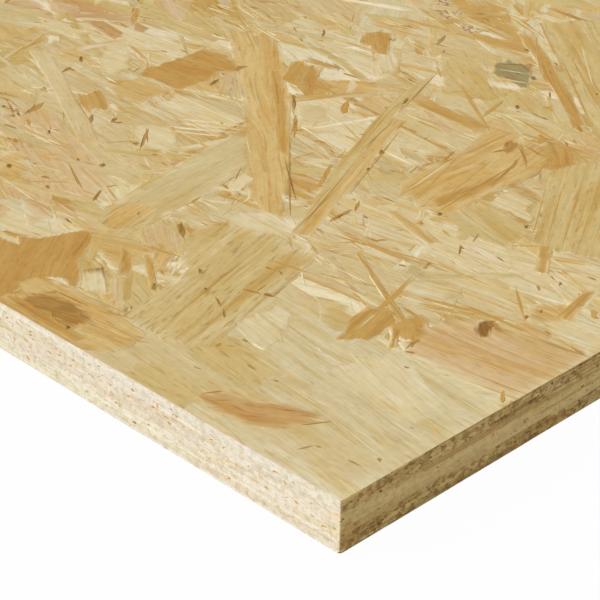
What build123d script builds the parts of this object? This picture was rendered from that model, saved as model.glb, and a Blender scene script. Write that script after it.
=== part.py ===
from build123d import *
import os

# Oriented strand board: wood strands pressed with resin into one flat board, then sawn square.
# It lies flat, with the origin under its centre, X along its length and Z up.

# Board, in millimetres
board_length = 1220.0
board_width = 610.0
board_thickness = 18.0

# Edges: upright corners slightly knocked, and the sharp saw arris of both faces broken
corner_radius = 1.5
arris_break = 0.4


def osb_panel():
    """The pressed board, sawn to size on all four sides."""
    sawn_outline = RectangleRounded(board_length, board_width, corner_radius)
    board = extrude(sawn_outline, amount=board_thickness)
    bottom_face = board.faces().sort_by(Axis.Z)[0]
    top_face = board.faces().sort_by(Axis.Z)[-1]
    return chamfer(bottom_face.edges() + top_face.edges(), arris_break)


os.makedirs("parts", exist_ok=True)
panel = osb_panel()
panel.label = "osb_panel"
export_step(panel, "parts/osb_panel.step")
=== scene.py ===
import math
from types import SimpleNamespace

import bpy
import numpy as np
from mathutils import Matrix, Vector
from mathutils.geometry import delaunay_2d_cdt


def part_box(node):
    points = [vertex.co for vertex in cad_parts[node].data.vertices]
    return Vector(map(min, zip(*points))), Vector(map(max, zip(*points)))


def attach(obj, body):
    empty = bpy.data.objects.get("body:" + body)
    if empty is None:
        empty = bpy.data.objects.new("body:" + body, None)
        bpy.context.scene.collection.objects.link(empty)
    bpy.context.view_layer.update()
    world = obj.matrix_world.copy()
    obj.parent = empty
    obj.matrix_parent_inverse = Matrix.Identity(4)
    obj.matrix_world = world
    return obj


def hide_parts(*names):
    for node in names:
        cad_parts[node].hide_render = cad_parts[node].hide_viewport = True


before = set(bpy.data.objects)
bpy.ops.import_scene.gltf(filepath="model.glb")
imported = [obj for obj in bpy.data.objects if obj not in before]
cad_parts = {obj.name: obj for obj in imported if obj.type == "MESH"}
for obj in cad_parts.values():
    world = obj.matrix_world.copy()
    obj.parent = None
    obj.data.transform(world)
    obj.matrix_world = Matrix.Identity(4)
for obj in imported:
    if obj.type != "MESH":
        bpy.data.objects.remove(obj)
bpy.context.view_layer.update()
bpy.ops.object.select_all(action="DESELECT")


# Pressed mat
# The inside of the board: wood strands and resin, hot-pressed into one stiff slab. It lies just under
# the face strands and the sawn ends, and shows only in the small gaps between them.

# The board's own sizes are in millimetres, and MM turns them into metres.
MM = 0.001
board_low, board_high = (np.array(corner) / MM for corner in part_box("osb_panel"))
length, width, thickness = board_high - board_low

mat_under_faces = 0.23
mat_behind_edges = 0.10
mat_corner = 0.8
mat_corner_steps = 3


def linear(red, green, blue):
    """A colour as seen on screen, 0 to 255, as the light that it reflects."""
    shares = np.array([red, green, blue]) / 255
    return np.where(shares < 0.04045, shares / 12.92, ((shares + 0.055) / 1.055) ** 2.4)


class Shade:
    """One value in a material. Sums with it add Math nodes, and node() adds any other node."""

    def __init__(self, tree, socket=None):
        self.tree = tree
        self.socket = socket

    def node(self, kind, settings, sockets, result=0):
        """A new node with its settings, the values or links of its sockets, and one of its results."""
        made = self.tree.nodes.new(kind)
        for name, value in settings.items():
            setattr(made, name, value)
        for name, value in sockets.items():
            if isinstance(value, Shade):
                self.tree.links.new(value.socket, made.inputs[name])
            else:
                made.inputs[name].default_value = value
        return Shade(self.tree, made.outputs[result])

    def math(self, operation, first, second):
        return self.node("ShaderNodeMath", {"operation": operation}, {0: first, 1: second})

    def mix(self, factor, first, second, blend="MIX"):
        settings = {"data_type": "RGBA", "blend_type": blend, "clamp_factor": True}
        # Of a Mix node's sockets, 6 and 7 take colours, and result 2 gives the mixed colour.
        return self.node("ShaderNodeMix", settings, {0: factor, 6: first, 7: second}, result=2)

    def stained(self, factor, red, green, blue):
        """This colour, times a stain where the factor is high."""
        return self.mix(factor, self, (red, green, blue, 1), "MULTIPLY")

    def lit(self, bright):
        """This colour, times a value."""
        grey = self.node("ShaderNodeCombineXYZ", {}, {"X": bright, "Y": bright, "Z": bright})
        return self.mix(1.0, self, grey, "MULTIPLY")

    def ease(self, low, high):
        """0 below low, 1 above high, and a smooth rise between them."""
        settings = {"interpolation_type": "SMOOTHSTEP"}
        sockets = {"Value": self, "From Min": low, "From Max": high}
        return self.node("ShaderNodeMapRange", settings, sockets)

    def noise(self, x, y, z, detail=3.0):
        """Cloudy noise at a place that is already scaled."""
        place = self.node("ShaderNodeCombineXYZ", {}, {"X": x, "Y": y, "Z": z})
        sockets = {"Vector": place, "Scale": 1.0, "Detail": detail, "Roughness": 0.55}
        return self.node("ShaderNodeTexNoise", {}, sockets, result="Fac")

    def mottle(self, scale, detail=3.0):
        """Cloudy noise over the whole board, in grains of about half of 1 / scale metres."""
        place = self.node("ShaderNodeTexCoord", {}, {}, result="Object")
        sockets = {"Vector": place, "Scale": scale, "Detail": detail}
        return self.node("ShaderNodeTexNoise", {}, sockets, result="Fac")

    def attribute(self, name, result):
        return self.node("ShaderNodeAttribute", {"attribute_name": name}, {}, result)

    def parts(self, name):
        """The three numbers of one of the mesh's attributes."""
        split = self.node("ShaderNodeSeparateXYZ", {}, {"Vector": self.attribute(name, "Vector")})
        return [Shade(self.tree, out) for out in split.socket.node.outputs]

    def feed(self, shader, name):
        self.tree.links.new(self.socket, shader.inputs[name])

    def __add__(self, other):
        return self.math("ADD", self, other)

    def __sub__(self, other):
        return self.math("SUBTRACT", self, other)

    def __rsub__(self, other):
        return self.math("SUBTRACT", other, self)

    def __mul__(self, other):
        return self.math("MULTIPLY", self, other)

    __radd__ = __add__
    __rmul__ = __mul__


def new_material(name):
    """A new material, the value that its nodes start from, and its shader."""
    material = bpy.data.materials.new(name)
    material.use_nodes = True
    return material, Shade(material.node_tree), material.node_tree.nodes["Principled BSDF"]


def finish_piece(piece, material):
    """Gives a piece its material and its place in the frame."""
    piece.data.materials.clear()
    piece.data.materials.append(material)
    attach(piece, "root")
    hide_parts("osb_panel")


# The mat's browns are partly its own wood and partly painted shade, which darkens the small gaps that show
# it.
mat_material, wood, mat_wood = new_material("pressed_mat_wood")
mat_blotch = wood.mottle(800.0, detail=4.0).ease(0.42, 0.58)
mat_colour = wood.mix(mat_blotch, (*linear(160, 124, 74), 1), (*linear(216, 190, 146), 1))
mat_colour.feed(mat_wood, "Base Color")
mat_wood.inputs["Roughness"].default_value = 0.8

bpy.ops.mesh.primitive_cube_add(size=1, location=(0, 0, thickness * MM / 2))
pressed_mat = bpy.context.object
pressed_mat.name = "pressed_mat"
mat_margin = np.array([mat_behind_edges, mat_behind_edges, mat_under_faces])
pressed_mat.scale = MM * ((length, width, thickness) - 2 * mat_margin)
bpy.ops.object.transform_apply(location=True, rotation=True, scale=True)
bpy.ops.object.mode_set(mode="EDIT")
bpy.ops.mesh.select_mode(type="EDGE")
bpy.ops.mesh.select_all(action="DESELECT")
bpy.ops.object.mode_set(mode="OBJECT")
for edge in pressed_mat.data.edges:
    start, end = (pressed_mat.data.vertices[i].co for i in edge.vertices)
    edge.select = abs(start.z - end.z) > mat_under_faces * MM
bpy.ops.object.mode_set(mode="EDIT")
bpy.ops.mesh.bevel(offset=mat_corner * MM, segments=mat_corner_steps, profile=0.5)
bpy.ops.object.mode_set(mode="OBJECT")
finish_piece(pressed_mat, mat_material)


# Top face strands
# Thin strands sliced from small logs, laid mostly along the board and pressed flush, so that each one
# shows its own tone and grain. Those near the front corner lie as they do in the photograph.

class Side:
    """One flat side of the board: its middle, the two ways along it, and the way out of it."""

    def __init__(self, middle, along, across, reach_along, reach_across):
        self.middle = np.array(middle, float)
        self.ways = np.array([along, across], float)
        self.out = np.cross(*self.ways)
        self.reach = np.array([reach_along, reach_across])

    def place(self, flat, level):
        """Points on the side, in metres, from their two flat measures and their height off it."""
        return MM * (self.middle + flat @ self.ways + level[:, None] * self.out)

    def rim(self, set_back, lower_corner, upper_corner):
        """The lines that the side ends at: its four edges, and its corners cut across."""
        slant = math.sqrt(0.5)
        lines = []
        for way in ((1, 0), (-1, 0), (0, 1), (0, -1)):
            lines.append((way, abs(np.array(way)) @ self.reach - set_back))
        for up, corner in ((-slant, lower_corner), (slant, upper_corner)):
            for along in (-slant, slant):
                lines.append(((along, up), slant * (self.reach.sum() - 2 * set_back - corner)))
        ways, reaches = zip(*lines)
        return np.array(ways, float), np.array(reaches)


touching = 1e-6
tiny = 1e-9
shortest_side = 0.02
least_turn = 0.2
longest_move_share = 1.6
heart_room_share = 0.75
sawn_lean = 0.3


def sawn(outline, rim):
    """An outline cut back to the rim, and for each of its sides whether the saw made it."""
    ways, reaches = rim
    if (outline @ ways.T <= reaches).all():
        return outline, np.zeros(len(outline), bool)
    for way, reach in zip(ways, reaches):
        inside_by = reach - outline @ way
        if (inside_by >= 0).all():
            continue
        kept = []
        for i in range(len(outline)):
            j = (i + 1) % len(outline)
            if inside_by[i] >= 0:
                kept.append(outline[i])
            if (inside_by[i] >= 0) != (inside_by[j] >= 0):
                share = inside_by[i] / (inside_by[i] - inside_by[j])
                kept.append(outline[i] + share * (outline[j] - outline[i]))
        if len(kept) < 3:
            return None, None
        outline = np.array(kept)
    steps = np.linalg.norm(np.roll(outline, -1, axis=0) - outline, axis=1)
    outline = outline[steps > shortest_side]
    if len(outline) < 3:
        return None, None
    on_lines = abs(reaches - outline @ ways.T) < touching
    return outline, (on_lines & np.roll(on_lines, -1, axis=0)).any(axis=1)


def drawn_in(outline, by):
    """An outline with each side moved inwards by its own distance."""
    side = np.roll(outline, -1, axis=0) - outline
    inward = np.stack([-side[:, 1], side[:, 0]], axis=1) / np.linalg.norm(side, axis=1)[:, None]
    before, by_before = np.roll(inward, 1, axis=0), np.roll(by, 1)
    turn = before[:, 0] * inward[:, 1] - before[:, 1] * inward[:, 0]
    straight = abs(turn) < least_turn
    turn = np.where(straight, 1, turn)
    move_x = (by_before * inward[:, 1] - by * before[:, 1]) / turn
    move_y = (by * before[:, 0] - by_before * inward[:, 0]) / turn
    move = np.stack([move_x, move_y], axis=1)
    half_way = (before * by_before[:, None] + inward * by[:, None]) / 2
    move = np.where(straight[:, None], half_way, move)
    far = np.linalg.norm(move, axis=1)
    most = longest_move_share * by.max()
    return outline + move * np.minimum(1, most / np.maximum(far, tiny))[:, None]


def inside(outline, points):
    """Whether each point lies inside an outline."""
    start, end = outline, np.roll(outline, -1, axis=0)
    x, y = points[:, :1], points[:, 1:]
    crossed = (start[:, 1] > y) != (end[:, 1] > y)
    rise = np.where(end[:, 1] == start[:, 1], 1.0, end[:, 1] - start[:, 1])
    crossing = start[:, 0] + (y - start[:, 1]) * (end[:, 0] - start[:, 0]) / rise
    return (crossed & (x < crossing)).sum(axis=1) % 2 == 1


def distance(outline, points):
    """How far each point lies from the nearest side of an outline."""
    side = np.roll(outline, -1, axis=0) - outline
    reach = points[:, None] - outline
    share = np.clip((reach * side).sum(axis=2) / np.maximum((side**2).sum(axis=1), 1e-12), 0, 1)
    return np.linalg.norm(reach - share[:, :, None] * side, axis=2).min(axis=1)


def heart(rim, fade):
    """Points a little inside a flake's rim, where it shows its own tone in full."""
    run = np.roll(rim, -1, axis=0) - np.roll(rim, 1, axis=0)
    inward = np.stack([-run[:, 1], run[:, 0]], axis=1)
    points = rim + fade * inward / np.maximum(np.linalg.norm(inward, axis=1), tiny)[:, None]
    return points[inside(rim, points) & (distance(rim, points) > heart_room_share * fade)]


def filled(rim, inner):
    """Triangles that fill a rim and use the points inside it, or None where the rim crosses itself."""
    points = [Vector(point) for point in np.concatenate([rim, inner])]
    made = delaunay_2d_cdt(points, [], [list(range(len(rim)))], 1, touching)
    if len(made[0]) != len(points) or len(made[2]) != len(rim) + 2 * len(inner) - 2:
        return None
    sources = [source[0] for source in made[3]]
    return [[sources[i] for i in face] for face in made[2]]


class Flakes:
    """Flat bits of wood on one side of the board, gathered as arrays and joined into meshes."""

    highest = -0.004
    least_step = 0.0015
    least_inside = 0.02

    def __init__(self, side, rim, thick, cell, ground_tone):
        self.side = side
        self.rim = rim
        self.thick = thick
        self.cell = cell
        self.ground_tone = ground_tone
        self.laid = []

    def lay(self, outline, level, tone, angle, seed, habits, fade=1.2, slope=0.5, rise=0.0, proud=None):
        """Lays one flake. Level is its height off the side, rise how much higher its left long side
        lies, and fade the breadth of its worn rim. Habits are three shares that its material reads:
        streaks, flecks and waves on a face, and streaks, pores and blotches on a sawn edge. Where proud
        is given, the flake lies that much above what it covers, and no higher than its level."""
        ways, reaches = self.rim
        outline, cut = sawn(outline, (ways, reaches + sawn_lean * level))
        if outline is None:
            return
        # A rim that crosses itself is tried again with a steeper side, and last with no worn rim.
        for share, depth in ((1.0, fade), (0.4, fade), (0.0, fade), (0.0, 0.0)):
            rim = drawn_in(outline, np.where(cut, 0.0, share * slope))
            inner = heart(rim, depth) if depth else rim[:0]
            faces = filled(rim, inner)
            if faces is not None:
                break
        else:
            return
        count, foot = len(rim), len(rim) + len(inner)
        faces.append(list(range(foot, foot + count))[::-1])
        for i in range(count):
            j = (i + 1) % count
            faces.append([foot + i, foot + j, j, i])
        flat = np.concatenate([rim, inner, outline])
        room = self.side.reach - self.least_inside
        flat = np.clip(flat, -room, room)
        turn = np.array([[math.cos(angle), -math.sin(angle)], [math.sin(angle), math.cos(angle)]])
        grain = np.c_[flat @ turn, np.full(len(flat), seed)]
        lean = grain[:, 1] - grain[:, 1].mean()
        height = min(level, self.highest - abs(rise)) + rise * lean / abs(lean).max()
        height[foot:] -= self.thick
        worn = np.full(len(flat), 1.0 if len(inner) else 0.0)
        worn[count:foot] = 0.0
        self.laid.append(SimpleNamespace(
            level=level, proud=proud, outline=outline, flat=flat, height=height, faces=faces, grain=grain,
            tone=np.c_[np.tile(tone, (len(flat), 1)), worn], habits=np.tile(habits, (len(flat), 1)),
        ))

    def settle(self):
        """Finds, lowest flake first, the tone of what each flake covers, and presses it down on that."""
        self.laid.sort(key=lambda flake: flake.level)
        spots = (2 * self.side.reach / self.cell).astype(int) + 1
        ground = np.tile([*self.ground_tone, self.laid[0].level], (*spots, 1))
        for flake in self.laid:
            place = ((flake.flat + self.side.reach) / self.cell).astype(int)
            below = ground[place[:, 0], place[:, 1]]
            flake.under = below[:, :3]
            low, high = place.min(axis=0), place.max(axis=0) + 1
            patch = ground[low[0]:high[0], low[1]:high[1]]
            centres = np.indices(patch.shape[:2]).reshape(2, -1).T + low + 0.5
            covered = inside(flake.outline, centres * self.cell - self.side.reach).reshape(patch.shape[:2])
            top = max(below[:, 3].max(), patch[covered, 3].max(initial=-1.0))
            level = flake.level if flake.proud is None else min(top + flake.proud, flake.level)
            level = min(max(level, top + self.least_step), self.highest)
            flake.height += level - flake.level
            flake.level = level
            patch[covered] = [*flake.tone[0, :3], level]

    def piece(self, name, material, chosen, rows):
        """Joins the chosen flakes, which are settled, into one piece."""
        faces, start = [], 0
        for flake in chosen:
            faces.extend([[start + i for i in face] for face in flake.faces])
            start += len(flake.flat)
        mesh = bpy.data.meshes.new(name)
        mesh.from_pydata(np.concatenate([self.side.place(f.flat, f.height) for f in chosen]), [], faces)
        covers = [np.c_[f.under, np.ones(len(f.under))] for f in chosen]
        self.write(mesh, "tone", "FLOAT_COLOR", "color", [f.tone for f in chosen])
        self.write(mesh, "under", "FLOAT_COLOR", "color", covers)
        self.write(mesh, "grain", "FLOAT_VECTOR", "vector", [f.grain for f in chosen])
        self.write(mesh, "habits", "FLOAT_VECTOR", "vector", [f.habits for f in chosen])
        self.map_flat(mesh, [f.flat for f in chosen], rows)
        piece = bpy.data.objects.new(name, mesh)
        bpy.context.collection.objects.link(piece)
        finish_piece(piece, material)

    def write(self, mesh, name, kind, field, values):
        """Writes one attribute of a mesh, point by point."""
        attribute = mesh.attributes.new(name, kind, "POINT")
        attribute.data.foreach_set(field, np.concatenate(values).astype(np.float32).ravel())

    def map_flat(self, mesh, flats, rows):
        """A map of the piece laid flat, a long strip in several rows, for its picture when exported."""
        run = 2 * self.side.reach[0] / rows
        row_height = np.ptp(np.concatenate(flats)[:, 1])
        spots = []
        for flat in flats:
            row = int(np.clip((flat[:, 0].mean() + self.side.reach[0]) // run, 0, rows - 1))
            spots.append(flat + (-row * run, row * row_height))
        spots = np.concatenate(spots)
        low, high = spots.min(axis=0), spots.max(axis=0)
        spots = (spots - low) / (high - low)
        corners = np.empty(len(mesh.loops), dtype=np.int32)
        mesh.loops.foreach_get("vertex_index", corners)
        layer = mesh.uv_layers.new(name="OFBake")
        layer.data.foreach_set("uv", spots[corners].astype(np.float32).ravel())


tones = {
    "white": linear(233, 220, 182),
    "cream": linear(221, 203, 157),
    "sand": linear(213, 196, 150),
    "pale": linear(212, 190, 138),
    "straw": linear(207, 182, 121),
    "olive": linear(208, 187, 133),
    "honey": linear(212, 180, 114),
    "tan": linear(199, 159, 84),
    "orange": linear(196, 152, 75),
    "pink": linear(212, 182, 130),
    "peach": linear(214, 183, 131),
    "rose": linear(201, 160, 100),
    "rust": linear(177, 133, 62),
    "brown": linear(150, 113, 50),
    "bark": linear(164, 122, 56),
    "tick": linear(178, 147, 84),
    "grey": linear(159, 145, 96),
    "knot": linear(146, 106, 44),
    "dark": linear(116, 88, 42),
}
face_tones = ["white", "cream", "pale", "straw", "olive", "honey", "tan", "orange", "pink", "rose"]
face_tone_shares = [0.11, 0.17, 0.18, 0.17, 0.03, 0.12, 0.09, 0.05, 0.05, 0.03]
# Splinters are mostly pale: partly their own tone, partly a painted highlight where raised fibres catch the
# light.
splinters = (["white", "cream", "pale", "straw", "honey", "tan"], [0.26, 0.24, 0.16, 0.1, 0.1, 0.14])
# Dark marks: painted shade where they stand for open gaps, the bark's own colour where they stand for bark.
gaps = (["tan", "rust", "brown", "dark"], [0.3, 0.42, 0.24, 0.04])
splinter_proud = 0.025
mark_proud = 0.003

tooth_pitch = {"cut": 4.0, "slant": 4.0, "point": 4.0, "torn": 1.7}
tooth_depth = {"cut": 0.3, "slant": 0.5, "point": 0.6, "torn": 2.2}
most_teeth = 12
tooth_shift_share = 0.6
skew_share = 0.1
slant_shares = (0.3, 0.9)
point_shares = (0.8, 2.0)
point_aside_share = 0.5
end_room_share = 0.35
station_pitch = 18.0
wander_share = 0.04
most_wander = 0.6
taper_spread = 0.1
most_taper = 0.25
bow_share = 0.004


def end_profile(rng, kind, breadth, room):
    """Points across one end of a strand: their share of the half breadth, and how far they stand back."""
    count = int(np.clip(breadth / tooth_pitch[kind], 2, most_teeth))
    shares = np.linspace(-1, 1, count)
    shares[1:-1] += rng.uniform(-tooth_shift_share, tooth_shift_share, count - 2) / count
    back = rng.uniform(-skew_share, skew_share) * breadth * shares
    if kind == "slant":
        back = rng.uniform(*slant_shares) * breadth * (1 + rng.choice([-1, 1]) * shares) / 2
    if kind == "point":
        reach = rng.uniform(*point_shares) * breadth
        back = reach * abs(shares - rng.uniform(-point_aside_share, point_aside_share))
    back = back + rng.exponential(tooth_depth[kind], count)
    return shares, np.minimum(back - back.min(), room)


def side_points(rng, start, end, wander):
    """Points along one long side of a strand, which strays a little from a straight line."""
    count = max(1, int(np.linalg.norm(end - start) / station_pitch))
    shares = np.linspace(0, 1, count + 2)[1:-1, None]
    points = start + shares * (end - start)
    points[:, 1] += rng.normal(0, wander, count)
    return points


def strand_outline(rng, run, breadth, ends):
    """A strand along +X about its middle: two ends, sides that wander, a slight taper and bow."""
    room = end_room_share * run
    left, right = (end_profile(rng, kind, breadth, room) for kind in ends)
    right_end = np.stack([run / 2 - right[1], right[0] * breadth / 2], axis=1)
    left_end = np.stack([left[1] - run / 2, left[0] * breadth / 2], axis=1)[::-1]
    wander = min(most_wander, wander_share * breadth)
    upper = side_points(rng, right_end[-1], left_end[0], wander)
    lower = side_points(rng, left_end[-1], right_end[0], wander)
    outline = np.concatenate([right_end, upper, left_end, lower])
    place = 2 * outline[:, 0] / run
    outline[:, 1] *= 1 + np.clip(rng.normal(0, taper_spread), -most_taper, most_taper) * place
    outline[:, 1] += rng.normal(0, bow_share) * run * (1 - place**2)
    return outline


sliver_shape = np.array([(-0.5, 0.1), (-0.25, -0.4), (0.2, -0.5), (0.5, -0.1), (0.25, 0.4), (-0.2, 0.5)])
sliver_shift_share = 0.12


def sliver_outline(rng, run, breadth):
    """A thin splinter along +X about its middle, pointed at both ends."""
    shift = rng.uniform(-sliver_shift_share, sliver_shift_share, sliver_shape.shape)
    return (sliver_shape + shift) * (run, breadth)


def turned(outline, angle, middle):
    """An outline turned by an angle and moved to its place."""
    cos, sin = math.cos(angle), math.sin(angle)
    return outline @ np.array([[cos, sin], [-sin, cos]]) + middle


tone_brightness = (0.92, 1.05)
tone_hue_spread = (0.01, 0.015, 0.04)
aligned_share = 0.75
widest_stray_radians = 1.3
strand_spread_degrees = 18
strand_ends = ["cut", "cut", "slant", "point", "torn", "torn"]
strand_fade_shares = (0.06, 0.2)
strand_rise = 0.008
streak_skew = (2, 2)
fleck_middle, fleck_spread = 0.2, 0.25
wave_skew = (1.2, 3)
grain_seeds = (0, 90)
# Beside some strands lies a dark mark, the painted shade of a gap along part of one side.
gap_shade_chance = 0.4
gap_shade_run_shares = (0.1, 0.35)
gap_shade_breadths = (0.6, 1.6)
gap_shade_shift_share = 0.3
sliver_habits = (0.4, 0.3, 0.1)
sliver_fade = 0.38
sliver_slope = 0.2
broad_mark_tan_share = 0.45
broad_mark_breadth_share = 1.1
core_aside_share = 0.2
core_stray = 0.15
core_run_share = 0.65
core_breadth_share = 0.6


def random_tone(rng, names, shares):
    """One of the named tones, a little lighter or darker and of a slightly different hue."""
    tone = tones[names[rng.choice(len(names), p=shares)]]
    return tone * rng.uniform(*tone_brightness) * (1 + rng.normal(0, 1, 3) * tone_hue_spread)


def random_angle(rng, spread_degrees):
    """The way a strand lies: most of them near the board's long way."""
    if rng.random() < aligned_share:
        return rng.normal(0, math.radians(spread_degrees))
    return rng.uniform(-widest_stray_radians, widest_stray_radians)


def random_strand(flakes, rng, middle, run, breadth, level):
    """Lays one strand by chance and, beside some of them, a dark mark of painted gap shade along part of one
    side.
    """
    angle = random_angle(rng, strand_spread_degrees)
    ends = rng.choice(strand_ends, 2)
    outline = turned(strand_outline(rng, run, breadth, ends), angle, middle)
    flecks = (fleck_middle, fleck_spread)
    habits = (rng.beta(*streak_skew), max(0, rng.normal(*flecks)), rng.beta(*wave_skew))
    tone = random_tone(rng, face_tones, face_tone_shares)
    fade = rng.uniform(*strand_fade_shares) * breadth
    seed, rise = rng.uniform(*grain_seeds), rng.normal(0, strand_rise)
    flakes.lay(outline, level, tone, angle, seed, habits, fade, rise=rise)
    if rng.random() < gap_shade_chance:
        gap_shade_run = rng.uniform(*gap_shade_run_shares) * run
        gap_shade_breadth = rng.uniform(*gap_shade_breadths)
        shift = rng.uniform(-gap_shade_shift_share, gap_shade_shift_share) * run
        beside = (shift, rng.choice([-0.5, 0.5]) * breadth)
        gap_shade_middle = turned(np.array([beside]), angle, middle)[0]
        lay_mark(flakes, rng, gap_shade_middle, gap_shade_run, gap_shade_breadth, level, angle, random_tone(rng, *gaps))


def lay_sliver(flakes, rng, middle, run, breadth, level, angle, tone, proud=splinter_proud):
    """Lays a thin splinter on whatever lies there."""
    outline = turned(sliver_outline(rng, run, breadth), angle, middle)
    fade, slope = sliver_fade * breadth, sliver_slope * breadth
    seed = rng.uniform(*grain_seeds)
    flakes.lay(outline, level, tone, angle, seed, sliver_habits, fade, slope, proud=proud)


def lay_mark(flakes, rng, middle, run, breadth, level, angle, tone):
    """Lays the dark mark of a gap, whose dark is painted shade, or of bark: a broad brown sliver, and its
    darkest part aside of the middle.
    """
    aside = rng.uniform(-core_aside_share, core_aside_share, 2) * (run, breadth)
    core = turned(np.array([aside]), angle, middle)[0]
    lean = angle + rng.normal(0, core_stray)
    broad_mark_tone = broad_mark_tan_share * tones["tan"] + (1 - broad_mark_tan_share) * tone
    broad_mark_breadth = broad_mark_breadth_share * breadth
    core_run, core_breadth = core_run_share * run, core_breadth_share * breadth
    lay_sliver(flakes, rng, middle, run, broad_mark_breadth, level, angle, broad_mark_tone, mark_proud)
    lay_sliver(flakes, rng, core, core_run, core_breadth, level, lean, tone, 2 * mark_proud)


bed_step_along = 76
bed_step_across = 15
bed_run, bed_run_spread = 122, 14
bed_breadths = (20, 34)
bed_levels = (-0.20, -0.17)
upper_breadth_log = (2.4, 0.55)
upper_breadth_limits = (3, 30)
upper_run, upper_run_spread = 88, 26
upper_run_limits = (30, 150)
upper_levels = (-0.145, -0.115)


def lay_face(flakes, rng, upper_count, room_for):
    """Covers a face by chance: a closed bed and single strands on it.

    room_for tells whether a strand of some breadth may lie at a place."""
    for x in np.arange(-length / 2, length / 2 + bed_step_along, bed_step_along):
        for y in np.arange(-width / 2, width / 2 + bed_step_across, bed_step_across):
            middle = np.array([x, y]) + rng.uniform(-0.5, 0.5, 2) * (bed_step_along, bed_step_across)
            run, breadth = rng.normal(bed_run, bed_run_spread), rng.uniform(*bed_breadths)
            random_strand(flakes, rng, middle, run, breadth, rng.uniform(*bed_levels))
    for i in range(upper_count):
        middle = rng.uniform(-0.5, 0.5, 2) * (length, width)
        breadth = float(np.clip(rng.lognormal(*upper_breadth_log), *upper_breadth_limits))
        run = float(np.clip(rng.normal(upper_run, upper_run_spread), *upper_run_limits))
        if room_for(middle, breadth):
            random_strand(flakes, rng, middle, run, breadth, rng.uniform(*upper_levels))


short_runs = (12, 42)
short_breadths = (2.5, 6.9)
short_levels = (-0.115, -0.095)
bundle_spread_degrees = 12
bundle_gaps = (0.9, 2.4)
least_in_bundle, most_in_bundle = 1, 5
sliver_run_log = (2.3, 0.5)
sliver_run_limits = (3, 36)
sliver_breadths = (0.6, 2.0)
sliver_shift = 5
sliver_stray = 0.04
sliver_tone_share = 0.75
sliver_levels = (-0.09, -0.08)
mark_runs = (2, 9)
mark_breadths = (0.7, 2.0)


def scatter(flakes, rng, middle, size, counts, room_for):
    """Drops short strands, bundles of slivers and dark marks by chance on part of a face; the marks are
    painted gap shade and bark.
    """
    short_count, bundle_count, mark_count = counts
    for i in range(short_count):
        place = middle + rng.uniform(-0.5, 0.5, 2) * size
        breadth, run = rng.uniform(*short_breadths), rng.uniform(*short_runs)
        if room_for(place, breadth):
            random_strand(flakes, rng, place, run, breadth, rng.uniform(*short_levels))
    for i in range(bundle_count):
        bundle_middle = middle + rng.uniform(-0.5, 0.5, 2) * size
        angle, gap = random_angle(rng, bundle_spread_degrees), rng.uniform(*bundle_gaps)
        for j in range(rng.integers(least_in_bundle, most_in_bundle + 1)):
            run = float(np.clip(rng.lognormal(*sliver_run_log), *sliver_run_limits))
            breadth = rng.uniform(*sliver_breadths)
            beside = np.array([(rng.normal(0, sliver_shift), j * gap)])
            place = turned(beside, angle, bundle_middle)[0]
            lean = angle + rng.normal(0, sliver_stray)
            own_tone = random_tone(rng, *splinters)
            tone = sliver_tone_share * own_tone + (1 - sliver_tone_share) * tones["straw"]
            if room_for(place, breadth):
                lay_sliver(flakes, rng, place, run, breadth, rng.uniform(*sliver_levels), lean, tone)
    for i in range(mark_count):
        place = middle + rng.uniform(-0.5, 0.5, 2) * size
        run, breadth = rng.uniform(*mark_runs), rng.uniform(*mark_breadths)
        angle, tone = random_angle(rng, strand_spread_degrees), random_tone(rng, *gaps)
        if room_for(place, breadth):
            lay_mark(flakes, rng, place, run, breadth, rng.uniform(*sliver_levels), angle, tone)


# The part of the face that the photograph shows, measured along and across from the front corner, and
# the calm part of it nearest that corner.
seen_along, seen_across = 330, 320
calm_along, calm_across = 112, 80
seen_strand_breadth = 7.0


def from_corner(along, across):
    """A place on the top face, measured from the corner that faces the camera."""
    return np.array([length / 2 - along, across - width / 2])


def top_room_for(middle, breadth):
    """Keeps strands that fall by chance off those listed."""
    along, across = abs(middle - from_corner(0, 0))
    if along < calm_along and across < calm_across:
        return False
    return along > seen_along or across > seen_across or breadth < seen_strand_breadth


rough_pitch = 3.0
rough_along = 1.1
rough_across = 0.16
seen_brightness = (0.98, 1.02)
strip_rim_share = 0.15
most_strip_slope = 0.8
patch_slope = 0.9
mark_tones = ("rust", "brown", "dark")


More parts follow.
